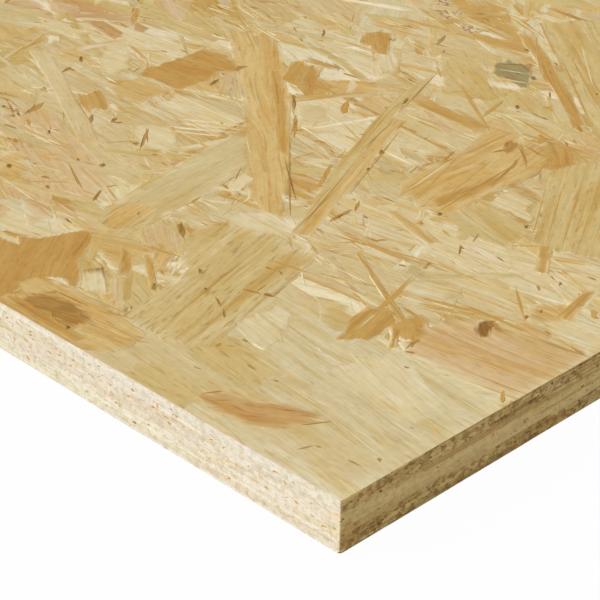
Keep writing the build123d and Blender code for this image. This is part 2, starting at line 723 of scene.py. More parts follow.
class SeenStrands:
    """Strands that lie as in the photograph, each a little higher than the one before."""

    def __init__(self, flakes, seed, low, high, count):
        self.flakes = flakes
        self.rng = np.random.default_rng(seed)
        self.level = low
        self.step = (high - low) / count

    def lay(self, outline, angle, tone, habits, fade, slope):
        """Lays one strand at the next height."""
        shade = tones[tone] * self.rng.uniform(*seen_brightness)
        seed = self.rng.uniform(*grain_seeds)
        self.flakes.lay(outline, self.level, shade, angle, seed, habits, fade, slope)
        self.level += self.step

    def roughened(self, outline, angle):
        """Breaks the sides of an outline into short steps, torn along the grain where they cross it."""
        points = []
        for start, end in zip(outline, np.roll(outline, -1, axis=0)):
            steps = max(1, int(np.linalg.norm(end - start) / rough_pitch))
            points.append(start + np.arange(steps)[:, None] / steps * (end - start))
        points = np.concatenate(points)
        run = np.roll(points, -1, axis=0) - np.roll(points, 1, axis=0)
        run /= np.maximum(np.linalg.norm(run, axis=1), tiny)[:, None]
        grain = np.array([math.cos(angle), math.sin(angle)])
        crossing = abs(run[:, 0] * grain[1] - run[:, 1] * grain[0])
        points += (self.rng.normal(0, rough_along, len(points)) * crossing)[:, None] * grain
        return points + self.rng.normal(0, rough_across, points.shape)

    def between(self, start, end):
        """The middle, length and angle of a strip from one place to another."""
        start, end = from_corner(*start), from_corner(*end)
        return (start + end) / 2, np.linalg.norm(end - start), math.atan2(*(end - start)[::-1])

    def strip(self, start, end, breadth, tone, ends, *habits):
        """A strand from one place to another."""
        middle, run, angle = self.between(start, end)
        outline = turned(strand_outline(self.rng, run, breadth, ends.split()), angle, middle)
        fade = strip_rim_share * breadth
        self.lay(outline, angle, tone, habits, fade, min(most_strip_slope, fade))

    def patch(self, corners, grain, fade, tone, *habits):
        """A strand with an outline of its own, torn where its sides cross the grain."""
        outline = np.array([from_corner(*corner) for corner in corners])
        ahead = np.roll(outline, -1, axis=0)
        if (outline[:, 0] * ahead[:, 1] - outline[:, 1] * ahead[:, 0]).sum() < 0:
            outline = outline[::-1]
        angle = math.radians(grain)
        self.lay(self.roughened(outline, angle), angle, tone, habits, fade, patch_slope)

    def sliver(self, start, end, breadth, tone):
        """A splinter from one place to another or, in a mark's tone, the painted shade of a gap or a bit of
        bark.
        """
        middle, run, angle = self.between(start, end)
        lay = lay_mark if tone in mark_tones else lay_sliver
        lay(self.flakes, self.rng, middle, run, breadth, self.level, angle, tones[tone])
        self.level += self.step


# Broad pale strands at the bottom: from and to, breadth, tone, ends, streaks, flecks and waves.
seen_bed = [
    ((335, 192), (240, 198), 26, "straw", "cut cut", 0.6, 0.2, 0.2),
    ((340, 160), (250, 168), 26, "cream", "cut cut", 0.6, 0.3, 0.2),
    ((320, 142), (232, 138), 28, "pale", "cut torn", 0.7, 0.2, 0.2),
    ((300, 118), (215, 112), 28, "pale", "cut torn", 0.6, 0.2, 0.3),
    ((240, 122), (185, 118), 26, "pale", "torn torn", 0.8, 0.4, 0.2),
    ((235, 100), (180, 92), 24, "pale", "torn cut", 0.8, 0.4, 0.3),
    ((262, 92), (182, 66), 26, "pink", "torn torn", 0.6, 0.2, 0.2),
    ((215, 62), (160, 42), 26, "pink", "cut cut", 0.5, 0.2, 0.2),
    ((203, 38), (166, 43), 19, "cream", "slant cut", 0.3, 0.1, 0.1),
    ((165, 60), (112, 40), 48, "straw", "cut cut", 0.6, 0.4, 0.3),
    ((165, 95), (85, 108), 32, "pale", "cut cut", 0.5, 0.2, 0.2),
    ((140, 128), (10, 142), 34, "cream", "cut cut", 0.8, 0.2, 0.2),
    ((128, 116), (-6, 124), 26, "cream", "cut cut", 0.9, 0.2, 0.2),
    ((118, 90), (-6, 104), 26, "pale", "cut cut", 0.7, 0.3, 0.3),
    ((160, 8), (60, 12), 30, "pale", "cut cut", 0.7, 0.4, 0.2),
    ((112, 30), (-6, 20), 22, "sand", "cut cut", 0.6, 0.2, 0.15),
    ((114, 54), (-6, 42), 46, "sand", "cut cut", 0.6, 0.2, 0.15),
    ((106, 16), (-6, 6), 30, "pale", "cut cut", 0.4, 0.2, 0.15),
    ((50, 56), (6, 46), 22, "cream", "torn torn", 0.3, 0.1, 0.1),
    ((94, 30), (54, 26), 18, "straw", "torn torn", 0.4, 0.5, 0.1),
    ((94, 6), (62, 4), 15, "straw", "torn torn", 0.4, 0.4, 0.1),
    ((255, 226), (172, 224), 22, "cream", "cut cut", 0.6, 0.2, 0.2),
    ((212, 248), (158, 254), 36, "pale", "cut cut", 0.4, 0.1, 0.2),
    ((190, 214), (130, 210), 26, "pale", "cut cut", 0.6, 0.2, 0.2),
    ((165, 198), (116, 190), 26, "pale", "cut cut", 0.5, 0.2, 0.4),
    ((150, 238), (96, 216), 28, "straw", "cut cut", 0.6, 0.3, 0.2),
    ((160, 150), (110, 140), 24, "pale", "cut cut", 0.7, 0.1, 0.2),
    ((208, 174), (140, 160), 34, "cream", "torn cut", 0.5, 0.1, 0.15),
    ((160, 176), (118, 170), 26, "cream", "cut torn", 0.5, 0.1, 0.15),
]

# Strands with an outline of their own: its corners, the way of the grain in degrees, how softly it
# fades into what it covers, then its tone, streaks, flecks and waves.
seen_patches = [
    ([(126, 52), (139, 66), (146, 79), (141, 88), (131, 88), (122, 70)], -74, 4.0, "straw", 0.6, 0.5, 0.1),
    ([(57, 83), (55, 89), (49, 90), (43, 83), (41, 75), (46, 73), (50, 72), (55, 76)],
     -30, 2.5, "tan", 0.8, 0.5, 0.3),
    ([(74, 100), (66, 108), (56, 112), (50, 106), (54, 100), (62, 95), (70, 95)],
     14, 4.0, "cream", 0.5, 0.1, 0.1),
    ([(108, 202), (107, 215), (94, 216), (84, 209), (86, 198), (95, 192)], -40, 3.5, "tan", 0.8, 0.5, 0.3),
    ([(130, 243), (122, 253), (105, 236), (113, 228)], -38, 3.0, "pale", 0.6, 0.2, 0.1),
    ([(192, 57), (186, 68), (172, 65), (158, 65), (154, 54), (169, 52)], 10, 4.0, "straw", 0.7, 0.4, 0.2),
    ([(172, 52), (158, 56), (145, 59), (137, 50), (140, 39), (158, 42), (168, 46)],
     20, 4.0, "honey", 0.9, 0.6, 0.3),
    ([(184, 242), (172, 256), (153, 240), (143, 241), (141, 231), (150, 222), (161, 218)],
     -30, 3.0, "straw", 0.5, 0.3, 0.2),
    ([(108, 149), (94, 159), (81, 149), (90, 135)], 10, 4.0, "honey", 0.8, 0.5, 0.2),
    ([(222, 114), (212, 128), (193, 114), (203, 101)], 5, 3.0, "cream", 0.5, 0.1, 0.2),
    ([(284, 150), (276, 160), (262, 150), (259, 140), (265, 136)], 5, 3.0, "cream", 0.5, 0.1, 0.2),
    ([(209, 230), (200, 239), (184, 221), (192, 212)], -40, 3.0, "cream", 0.5, 0.1, 0.1),
    ([(203, 48), (194, 56), (181, 47), (185, 37)], 5, 4.0, "pink", 0.8, 0.4, 0.3),
    ([(145, 57), (137, 62), (125, 50), (132, 46)], -60, 3.0, "honey", 0.9, 0.6, 0.2),
    ([(84, 74), (72, 79), (61, 70), (64, 62), (72, 63)], 8, 5.0, "straw", 0.7, 0.3, 0.2),
    ([(208, 186), (207, 196), (197, 195), (187, 185), (194, 175)], -20, 3.0, "tan", 0.8, 0.5, 0.3),
    ([(238, 66), (231, 74), (214, 62), (221, 52)], 5, 4.0, "honey", 0.7, 0.4, 0.2),
    ([(192, 172), (183, 181), (172, 169), (178, 159)], 5, 3.0, "pale", 0.6, 0.2, 0.1),
    ([(182, 300), (92, 226), (80, 240), (166, 324)], -38, 1.2, "straw", 1.0, 0.4, 0.12),
    ([(258, 183), (258, 146.5), (245, 147), (232, 146.5), (231, 160), (233, 172), (229, 178), (244, 186)],
     8, 2.0, "orange", 0.4, 0.5, 0.3),
    ([(255, 146), (254, 129), (244, 127), (233, 128), (232, 146)], 0, 2.5, "honey", 0.6, 0.3, 0.2),
    ([(191, 146), (188, 120), (183, 90), (177, 64), (172, 57), (159, 56), (156, 70), (159, 85), (156.5, 98),
      (162, 106), (165, 123), (178, 136)], -82, 5.0, "olive", 0.2, 0.1, 0.1),
    ([(264, 203), (252, 212), (238, 208), (220, 194), (200, 177), (178, 155), (158, 136), (143, 120),
      (128, 103), (137, 101), (150, 106), (166, 120), (186, 139), (206, 156), (232, 177), (250, 190)],
     -38, 2.6, "honey", 1.0, 0.3, 0.2),
    ([(222, 194), (200, 174), (174, 151), (162, 139.5), (168, 136.5), (182, 149), (206, 170), (222, 184)],
     -40, 2.5, "tan", 1.0, 0.3, 0.2),
    ([(164, 119), (157, 118), (153, 106), (161, 105)], -60, 1.2, "cream", 0.3, 0.0, 0.1),
    ([(142, 94.4), (138, 103), (131.7, 105), (122, 101), (112.6, 95.3), (121.3, 94), (135.7, 85),
      (139, 87)], -5, 1.5, "cream", 0.3, 0.0, 0.1),
    ([(138, 88), (134, 91), (128, 91), (122, 94), (115, 93.5), (108, 95), (102, 94), (98, 86), (95, 74),
      (90, 61), (87, 45), (83, 28), (95, 22), (107, 21), (117, 20), (121, 42), (126, 58), (133, 76)],
     -74, 8.0, "straw", 0.8, 0.9, 0.1),
    ([(165, 51), (159.5, 46), (152.5, 35), (144, 29), (137.5, 22.5), (153, 20), (149, 14), (151, 10),
      (150, -3), (196, -3), (188, 27), (178, 28), (182, 31), (175, 35), (173, 42.5), (175, 46)],
     -52, 1.6, "orange", 0.4, 0.2, 0.2),
    ([(157, 74), (155, 60), (148, 57), (140, 59), (131, 61.5), (141, 70.5)],
     -30, 2.0, "pink", 0.4, 0.2, 0.2),
    ([(154, 21), (126, 23), (103, 21), (100, 6), (112, -2), (154, -2)], 4, 3.0, "honey", 0.9, 0.6, 0.3),
    ([(151, 6), (146, 15), (138, 17), (130.7, 18), (122, 17), (118, 10), (121, 3), (132, 3), (143, 2)],
     12, 5.0, "rust", 1.0, 0.8, 0.6),
    ([(139, 15), (133, 17), (126, 14), (122, 7), (128, 6), (135, 9)], 30, 3.0, "bark", 1.0, 0.8, 0.6),
    ([(178, 66), (170, 57), (160, 57), (157, 68), (162, 78), (172, 78)], -80, 5.0, "honey", 0.8, 0.6, 0.2),
    ([(34, 122), (22, 126), (8, 124), (-3, 118), (-3, 104), (10, 108), (24, 112)],
     4, 4.0, "cream", 0.6, 0.3, 0.2),
    ([(35, 118), (25.5, 131), (15.5, 121), (24.5, 109)], 4, 3.5, "honey", 0.9, 0.5, 0.2),
    ([(46, 97), (44, 90), (46, 83), (43, 78), (46, 72), (40, 67), (18, 69), (-4, 72), (-4, 108), (12, 106),
      (28, 102)], 8, 5.0, "peach", 1.0, 0.3, 0.3),
    ([(67.9, 7.8), (65.6, 12.5), (60.5, 15.4), (54, 17), (50.6, 20.5), (45.2, 24), (41, 25.6), (35, 27.2),
      (29.5, 27), (31, 22.5), (34, 17), (37, 12), (43.4, 7), (50, 5.7), (56.8, 4.5), (62.9, 5.6)],
     18, 3.6, "rose", 1.0, 0.4, 0.7),
    ([(129, 209), (118, 212), (104, 209), (94, 205), (90, 190), (90, 172), (92, 156), (93, 143), (98, 146),
      (104, 141), (110, 147), (113, 143), (120, 152), (124, 165), (121, 178), (123, 190), (127, 200)],
     -84, 6.0, "honey", 1.0, 0.3, 0.45),
    ([(101, 142), (96, 150), (94, 162), (94, 176), (96, 192), (101, 192), (103, 178), (104, 163),
      (106, 150)], -84, 4.0, "tan", 1.0, 0.3, 0.45),
    ([(90, 176), (76, 175), (75, 168), (69, 165), (69, 160), (78, 160.5), (90, 161)],
     0, 1.2, "cream", 0.6, 0.1, 0.1),
    ([(92, 161), (70, 160), (63, 156), (63, 140), (75, 138), (92, 142)], -10, 3.0, "straw", 0.6, 0.2, 0.3),
    ([(90, 200), (85, 189.4), (76, 175.4), (64, 157.5), (59.6, 150.3), (52.4, 150), (46.3, 153.5),
      (40.3, 156), (33, 160), (25, 166), (40, 185), (55, 205), (68, 225), (86, 211)],
     -60, 2.2, "straw", 1.0, 0.5, 0.05),
    ([(165.5, 253), (168, 262.7), (161.2, 263), (155.5, 266), (146.8, 256.2), (139.9, 246.2), (143.3, 244),
      (149.9, 245), (161, 246.7)], -26, 2.0, "grey", 1.0, 1.0, 0.3),
    ([(225, 241), (215, 249), (207, 239), (199, 231), (206, 229), (212, 232.5), (217, 229.5), (222, 236)],
     -48, 1.2, "tan", 0.7, 0.2, 0.2),
    ([(214, 249), (204, 247), (202, 241), (207, 239)], -20, 1.2, "cream", 0.2, 0.0, 0.1),
    ([(176, 230), (173, 216), (171, 205), (165, 191), (160, 177.5), (152.5, 162.5), (147.5, 150),
      (141, 140), (136, 128.7), (128.7, 116.2), (122.5, 103.7), (119.4, 98), (116, 98.5), (137, 143.5),
      (158.7, 190), (163.7, 200), (167.5, 211), (170, 218.7)], -66, 0.8, "straw", 0.8, 0.2, 0.1),
    ([(160, 190), (153.5, 192.5), (150, 182.5), (145, 172.5), (140, 162.5), (133.7, 151), (130, 142.5),
      (126, 131), (121, 120), (115, 106), (112.5, 100), (118, 98.5), (139, 143.5)],
     -65, 1.2, "honey", 0.9, 0.3, 0.1),
    ([(61.7, 58.5), (62.7, 64), (67.6, 72.4), (68.4, 81), (64.6, 85.7), (57.4, 84.6), (53.6, 79.5),
      (51.6, 71), (52.8, 64.8), (57, 60)], -75, 1.6, "tan", 0.7, 0.3, 0.2),
    ([(101.5, 141), (97.5, 142), (95, 137.5), (91.5, 135.5), (92.5, 132.5), (96, 131.5), (98, 136)],
     -50, 1.0, "orange", 0.6, 0.3, 0.2),
    ([(90, 44), (89, 53.5), (87.5, 62), (80, 61.3), (71.6, 48.2), (70.4, 40), (79, 39)],
     -12, 2.5, "cream", 0.6, 0.1, 0.15),
    ([(37.9, 96.8), (38.4, 99), (38.1, 100.9), (36.6, 102.6), (33.9, 103.1), (30.8, 100.6), (28.5, 96.9),
      (27.9, 94.2), (28.5, 91.7), (30.6, 90.6), (33.1, 91.2), (36, 93.6)], -50, 2.2, "knot", 1.0, 0.6, 0.8),
    ([(236, 182), (231, 184), (229, 177), (233, 173)], 70, 1.4, "rust", 0.6, 0.8, 0.4),
    ([(116, 209), (109, 206), (107, 199), (109, 192), (113, 196), (117, 203)],
     -80, 2.5, "rust", 0.8, 0.5, 0.8),
    ([(160, 9), (154, 19), (145, 21), (141, 16), (148, 9)], 10, 3.0, "honey", 0.6, 0.3, 0.3),
]

# Narrow strands on top of those, listed like the broad ones.
seen_strips = [
    ((303, 135), (221, 94.5), 8, "pale", "torn cut", 0.4, 0.1, 0.1),
    ((220, 206), (200, 178), 15, "tan", "torn slant", 0.7, 0.2, 0.3),
    ((206, 193), (178, 196), 13, "honey", "torn torn", 0.8, 0.4, 0.3),
    ((196, 196), (172, 212), 9, "honey", "torn torn", 0.8, 0.4, 0.3),
    ((198, 172), (178, 202), 6, "tan", "point cut", 0.7, 0.2, 0.2),
    ((193, 206), (186, 192), 5, "cream", "point cut", 0.3, 0.0, 0.1),
    ((222, 205), (203, 207), 5, "orange", "torn torn", 0.6, 0.3, 0.2),
    ((166, 208), (128, 206), 9, "tan", "cut torn", 0.8, 0.2, 0.2),
    ((235, 139), (191, 140), 19, "cream", "torn cut", 0.7, 0.1, 0.1),
    ((311, 148), (302, 117), 5, "tan", "cut point", 0.8, 0.4, 0.1),
    ((312, 149), (300, 142), 7, "white", "slant point", 0.2, 0.0, 0.1),
    ((299, 140), (279, 141), 13, "honey", "torn torn", 0.4, 0.2, 0.3),
    ((257, 123), (236, 113), 11, "tan", "torn torn", 0.9, 0.2, 0.2),
    ((180, 290), (104, 232), 7, "tan", "point torn", 0.9, 0.2, 0.1),
    ((147, 35), (132, 24), 8, "cream", "cut slant", 0.3, 0.0, 0.1),
    ((137, 36), (125, 26), 3, "pink", "cut point", 0.5, 0.2, 0.1),
    ((162, 51.5), (151, 37.5), 3, "straw", "point cut", 0.5, 0.2, 0.1),
    ((151.5, 53), (135.5, 38.5), 5, "orange", "point cut", 0.7, 0.3, 0.2),
    ((142, 54), (122.5, 40), 3.2, "tan", "point cut", 0.7, 0.5, 0.2),
    ((152, 4), (112, 3), 6, "tan", "cut torn", 0.9, 0.5, 0.2),
    ((115, 125), (107, 117), 5, "cream", "slant point", 0.3, 0.0, 0.1),
    ((37, 135), (26, 130.5), 4, "cream", "cut point", 0.3, 0.0, 0.1),
    ((25, 141), (20, 118), 6, "tan", "torn cut", 0.6, 0.3, 0.2),
    ((55, 153), (43.2, 136), 6, "tan", "torn torn", 0.6, 0.2, 0.1),
    ((96, 105), (54.2, 82.6), 2.8, "tan", "torn cut", 0.8, 0.3, 0.1),
    ((52.4, 78), (44.3, 66.8), 3.0, "tan", "torn torn", 0.6, 0.3, 0.1),
    ((71, 106), (58.8, 65), 2.6, "tan", "cut cut", 0.8, 0.4, 0.1),
    ((59, 92.8), (45.2, 99), 3, "tan", "cut torn", 0.7, 0.4, 0.1),
]

# Splinters, ridges, specks of bark and open gaps: from and to, breadth and tone. The open gaps are
# dark marks of painted shade, and the white and cream splinters on ridges and strand edges are partly
# painted highlights.
seen_slivers = [
    ((174.5, 229), (162, 199), 1.2, "rust"), ((168, 208), (164, 200), 2.2, "brown"),
    ((160, 192), (140, 147), 1.3, "rust"), ((141, 149), (118, 99), 1.3, "rust"),
    ((150, 184), (128, 137), 1.0, "tan"), ((165, 196), (146, 154), 0.9, "tan"),
    ((150, 9), (137.3, 15.2), 1.4, "rust"), ((146.4, 16.3), (127.3, 18.6), 1.4, "rust"),
    ((124.6, 18), (112.7, 23.4), 1.6, "tan"), ((119.6, 6.3), (97.3, 17.9), 1.4, "tan"),
    ((129, 13), (121, 13.5), 1.8, "brown"), ((135, 8), (129, 6), 2.2, "brown"),
    ((111, 206), (96, 192), 2.2, "rust"), ((105, 200), (94, 168), 2.0, "rust"),
    ((110, 190), (100, 150), 1.4, "tan"), ((119, 180), (108, 148), 1.4, "tan"),
    ((121, 186), (114, 150), 0.9, "white"), ((101, 186), (96, 146), 1.2, "rust"),
    ((84, 188), (61, 152), 1.0, "tan"), ((79, 191), (55, 153), 1.0, "tan"),
    ((75, 196), (50, 155), 1.0, "tan"), ((71, 201), (45, 157), 1.0, "tan"),
    ((66, 204), (40, 159), 1.0, "tan"), ((60, 206), (35, 162), 1.0, "tan"),
    ((143, 167), (140, 163), 2.2, "brown"), ((136, 152.5), (134, 150), 1.6, "dark"),
    ((148, 146), (137, 128), 2.4, "tan"), ((154, 159), (147, 148), 2.2, "tan"),
    ((201, 178), (189, 168), 2.4, "brown"), ((166, 142), (132, 110), 1.2, "brown"),
    ((186, 165), (172, 151), 1.8, "rust"), ((188, 141), (172, 129), 0.8, "cream"),
    ((166, 123), (162, 106), 0.9, "brown"), ((162.5, 106.5), (157, 104.5), 1.7, "rust"),
    ((118, 127), (116, 112), 2.6, "rust"), ((117, 121), (116, 113), 1.3, "dark"),
    ((158, 227.5), (128, 208), 2.3, "tan"), ((161, 220.5), (154, 229), 1.8, "tan"),
    ((141, 231), (136, 213), 2.6, "tan"), ((181.5, 188), (173.5, 177.5), 3.8, "orange"),
    ((199, 263), (194, 252), 2.2, "rust"), ((215.5, 118), (202, 103), 1.9, "rust"),
    ((212, 113), (203, 103.5), 0.9, "dark"), ((240, 111), (233, 105.5), 2.2, "brown"),
    ((231, 116), (228, 110.5), 2.2, "brown"), ((229, 111), (224.5, 114.5), 2.0, "brown"),
    ((260.5, 104), (255, 91.5), 3.6, "rust"), ((259, 98), (256, 92), 1.6, "brown"),
    ((285, 143), (280, 139), 2.6, "dark"), ((279.5, 134), (277, 127), 2.0, "brown"),
    ((283, 136.3), (274, 136), 1.1, "white"), ((263, 136.5), (254, 136), 1.3, "white"),
    ((205, 87), (201, 84), 3.4, "brown"), ((227, 62.5), (223, 60), 3.0, "dark"),
    ((205, 62), (201, 60), 2.0, "brown"), ((189, 74), (183, 65), 1.8, "brown"),
    ((268.5, 92.5), (266.5, 90), 2.0, "dark"), ((167, 71), (163, 69), 2.4, "rust"),
    ((161, 95), (158.5, 88), 2.2, "tan"), ((152, 76), (140.5, 69.5), 3.2, "brown"),
    ((148, 56), (131, 61), 2.4, "tan"), ((126, 43.5), (121.5, 39), 2.4, "brown"),
    ((123, 60), (118.5, 57), 2.4, "brown"), ((112.5, 53), (110, 51), 1.5, "dark"),
    ((106, 51), (98, 47.5), 1.4, "brown"), ((98.5, 48), (93.5, 44), 1.5, "brown"),
    ((104, 60), (96, 62.5), 2.6, "rust"), ((97, 62.5), (91.5, 64.5), 3.0, "brown"),
    ((109, 75.5), (105, 76.2), 1.2, "brown"), ((104, 77), (100, 75.5), 1.2, "brown"),
    ((100, 68), (98.5, 62), 1.2, "rust"), ((94.5, 69), (92.5, 63), 1.4, "rust"),
    ((74, 117.5), (71.5, 111), 2.0, "rust"), ((116, 207), (110, 199), 2.2, "rust"),
    ((111, 201), (113.5, 193), 2.0, "brown"), ((112.6, 79.3), (96.7, 82.8), 1.8, "tan"),
    ((97.5, 82.6), (75.6, 92), 2.0, "tan"), ((63.3, 95.6), (28.2, 107.7), 2.2, "tan"),
    ((112.7, 105.7), (73.6, 116.3), 2.0, "tan"), ((73, 116.5), (46, 119), 1.8, "honey"),
    ((48, 103), (20, 105), 2.0, "tan"), ((76, 143.5), (73, 136.5), 0.9, "brown"),
    ((75, 132.5), (70, 127), 0.9, "brown"), ((95.5, 145), (92.5, 142.5), 2.6, "dark"),
    ((69.5, 159), (66.5, 157), 2.2, "dark"), ((36, 137), (34, 134), 1.7, "brown"),
    ((43, 123), (28, 110), 1.5, "tan"), ((29, 119), (27, 116.5), 1.6, "brown"),
    ((30, 113), (27.5, 110), 1.7, "brown"), ((18, 131), (13, 126), 3.0, "tan"),
    ((40, 130), (36, 127), 1.6, "rust"), ((7, 75), (1, 68), 1.8, "tan"),
    ((43.5, 79), (41.5, 70), 1.8, "rust"), ((30, 80), (-2, 86), 2.2, "tan"),
    ((180, 160), (154, 155), 1.0, "white"), ((232, 145), (192, 144.5), 0.8, "white"),
    ((214, 139), (192, 140.5), 0.8, "white"), ((141, 166), (126, 165.5), 0.9, "white"),
    ((36.5, 100.5), (31, 100), 3.2, "bark"), ((215, 130), (193, 144), 1.6, "white"),
    ((213, 127), (191, 141), 1.3, "white"), ((211, 124), (190, 138), 1.6, "white"),
    ((209, 121), (192, 132), 1.2, "white"), ((214.9, 78.8), (192.2, 68.1), 1.5, "rust"),
    ((66, 9), (63, 15), 1.2, "rust"), ((62, 8), (57, 14), 1.0, "rust"), ((59, 6), (54, 12), 0.9, "tan"),
    ((124, 6), (120.5, 4), 2.6, "dark"), ((230.5, 166.5), (228, 160.5), 2.6, "dark"),
    ((161.5, 251.7), (149.1, 257.8), 1.3, "cream"), ((153.8, 246.2), (143.7, 250.2), 1.5, "cream"),
    ((164, 256), (155, 264), 2.4, "brown"), ((168.5, 276), (164, 274), 2.2, "brown"),
    ((171.8, 287.3), (147.7, 262), 1.8, "tan"), ((148.4, 276), (108.3, 242), 1.6, "tan"),
    ((146.5, 280), (111.8, 252.5), 1.8, "tan"), ((153.8, 294.5), (121.7, 262.6), 1.4, "cream"),
    ((148, 256.5), (144.5, 254), 2.4, "dark"), ((134.5, 232), (131, 228), 2.4, "dark"),
    ((120.5, 262.5), (118.5, 260), 1.4, "dark"), ((125, 222), (88, 214), 1.8, "tan"),
    ((112, 218), (106, 214), 2.6, "tan"), ((26.2, 8.3), (24.2, 14), 1.2, "tick"),
    ((24.4, 13.7), (21.2, 14.9), 1.8, "tick"), ((12.7, 15.5), (7.5, 16.2), 1.3, "tick"),
    ((8, 22.4), (4.9, 21.5), 1.8, "tick"), ((83.5, 33), (82.7, 30), 1.6, "tick"),
    ((81.7, 32.9), (78.4, 34.7), 1.5, "tick"), ((79.4, 17.7), (75.5, 18.7), 1.4, "tick"),
    ((69.2, 29.9), (64, 29.8), 1.3, "tick"), ((57.4, 29.7), (54.7, 30.2), 1.4, "tick"),
    ((80.5, 39), (77.7, 39.5), 1.5, "tick"), ((35.9, 62.8), (33.2, 63.3), 1.4, "tick"),
    ((12.4, 40.1), (10.1, 40.3), 1.5, "tick"), ((8.6, 44.7), (2, 43.1), 2.4, "honey"),
    ((62.1, 52.3), (57.8, 51.2), 1.0, "white"), ((57.1, 58.4), (35.3, 51.8), 0.7, "white"),
    ((28.9, 27.3), (-2, 21.8), 0.8, "white"), ((77.7, 39.5), (70.4, 39.8), 1.0, "white"),
    ((54.7, 31), (38.8, 29.5), 0.6, "white"), ((84.3, 97.5), (66.7, 87.9), 0.9, "white"),
    ((61, 84.2), (54, 80.5), 0.9, "white"), ((109, 235), (102, 230), 2.6, "rust"),
    ((104, 196), (99, 187), 2.0, "rust"), ((110, 206), (96, 204), 1.8, "rust"),
    ((124, 186), (121, 175), 1.4, "rust"), ((64.6, 86), (59, 64.3), 0.9, "cream"),
    ((42.4, 73.1), (43.1, 78.4), 2.0, "brown"), ((41.7, 68.8), (37.6, 71.4), 2.0, "rust"),
    ((33.9, 18.8), (28.7, 27.3), 1.0, "rust"),
]

top_side = Side((0, 0, thickness), (1, 0, 0), (0, 1, 0), length / 2, width / 2)
strand_thick = 0.16
face_set_back = 0.04
face_cell = 1.0
top_corner_cut = 0.3
top_upper_count = 850
top_rim = top_side.rim(face_set_back, top_corner_cut, top_corner_cut)
top_flakes = Flakes(top_side, top_rim, strand_thick, face_cell, tones["straw"])
top_rng = np.random.default_rng(11)
lay_face(top_flakes, top_rng, top_upper_count, top_room_for)

# How many short strands, bundles of slivers and dark marks fall on the whole face, and on the seen part.
top_scatter = (650, 1100, 450)
seen_scatter = (230, 360, 270)
scatter(top_flakes, top_rng, (0, 0), (length, width), top_scatter, top_room_for)
seen_middle = from_corner(seen_along / 2, seen_across / 2)
scatter(top_flakes, top_rng, seen_middle, (seen_along, seen_across), seen_scatter, top_room_for)

seen_bed_levels = (-0.165, -0.15)
seen_broad_levels = (-0.075, -0.050)
seen_sliver_levels = (-0.045, -0.01)
seen_low = SeenStrands(top_flakes, 21, *seen_bed_levels, len(seen_bed))
for strip in seen_bed:
    seen_low.strip(*strip)
seen_broad = SeenStrands(top_flakes, 22, *seen_broad_levels, len(seen_patches) + len(seen_strips))
for patch in seen_patches:
    seen_broad.patch(*patch)
for strip in seen_strips:
    seen_broad.strip(*strip)
seen_high = SeenStrands(top_flakes, 23, *seen_sliver_levels, len(seen_slivers))
for sliver in seen_slivers:
    seen_high.sliver(*sliver)
top_flakes.settle()


def worn_colour(wood, grain, along_scale, across_scale):
    """The tone of a flake, which gives way to what it covers along a feathered rim."""
    along, across, seed = grain
    feather = wood.noise(along * along_scale, across * across_scale, seed + 41.0, detail=2.0) - 0.5
    buried = (wood.attribute("tone", "Alpha") + feather * 1.4).ease(0.3, 1.1)
    return wood.mix(buried, wood.attribute("tone", "Color"), wood.attribute("under", "Color"))


def ridge(wood, shader, strength, depth, height):
    """Gives a material's surface fine ridges of some depth in metres."""
    sockets = {"Strength": strength, "Distance": depth, "Height": height}
    wood.node("ShaderNodeBump", {}, sockets, result="Normal").feed(shader, "Normal")


strand_material, wood, strand_wood = new_material("face_strand_wood")
grain = wood.parts("grain")
along, across, seed = grain
streakiness, fleckiness, waviness = wood.parts("habits")
mottle = wood.mottle(420.0) - 0.5
colour = worn_colour(wood, grain, 0.12, 0.9)

swing = (wood.noise(along * 0.022, across * 0.035, seed, detail=1.0) - 0.5) * waviness * 38.0
wobble = (wood.noise(along * 0.05, across * 0.1, seed + 3.0, detail=1.0) - 0.5) * 1.8
bent = across + swing + wobble
streak = wood.noise(along * 0.010, bent * 0.30, seed + 5.0, detail=2.0).ease(0.43, 0.70)
line = wood.noise(along * 0.020, bent * 0.72, seed + 7.0, detail=2.0).ease(0.56, 0.69)
dash = wood.noise(along * 0.13, bent * 0.8, seed + 13.0, detail=2.0).ease(0.59, 0.70)
glint = wood.noise(along * 0.05, bent * 0.75, seed + 17.0, detail=2.0).ease(0.55, 0.70)
fibre = wood.noise(along * 0.12, bent * 1.5, seed + 11.0, detail=4.0) - 0.5
warm = wood.noise(along * 0.022, bent * 0.10, seed + 19.0, detail=3.0).ease(0.47, 0.70)
pale = wood.noise(along * 0.030, bent * 0.14, seed + 23.0, detail=3.0).ease(0.50, 0.72)
fleck = wood.noise(along * 0.14, bent * 0.5, seed + 29.0, detail=2.0).ease(0.60, 0.76)

colour = colour.stained(warm * 0.85, 0.94, 0.84, 0.60)
colour = colour.stained(pale * 0.8, 1.06, 1.10, 1.26)
colour = colour.stained(streak * streakiness * 0.75, 0.88, 0.76, 0.55)
colour = colour.stained(line * (streakiness * 0.55 + 0.2), 0.80, 0.66, 0.42)
colour = colour.stained(dash * (fleckiness * 0.55 + 0.35), 0.76, 0.61, 0.36)
colour = colour.stained(glint * 0.8, 1.08, 1.13, 1.30)
colour = wood.mix(fleck * fleckiness * 0.6, colour, (*linear(152, 114, 54), 1))
colour = colour.lit(0.965 + fibre * 0.27 + mottle * 0.24)
colour.feed(strand_wood, "Base Color")
ridges = streak * -0.35 + fibre * 0.6 + line * -0.3 + mottle * 0.4
ridge(wood, strand_wood, 0.35, 0.15 * MM, ridges)
(0.66 - line * 0.10 + mottle * 0.2).feed(strand_wood, "Roughness")
strand_wood.inputs["Specular IOR Level"].default_value = 0.3

lane_count = 4
lane_rows = 2


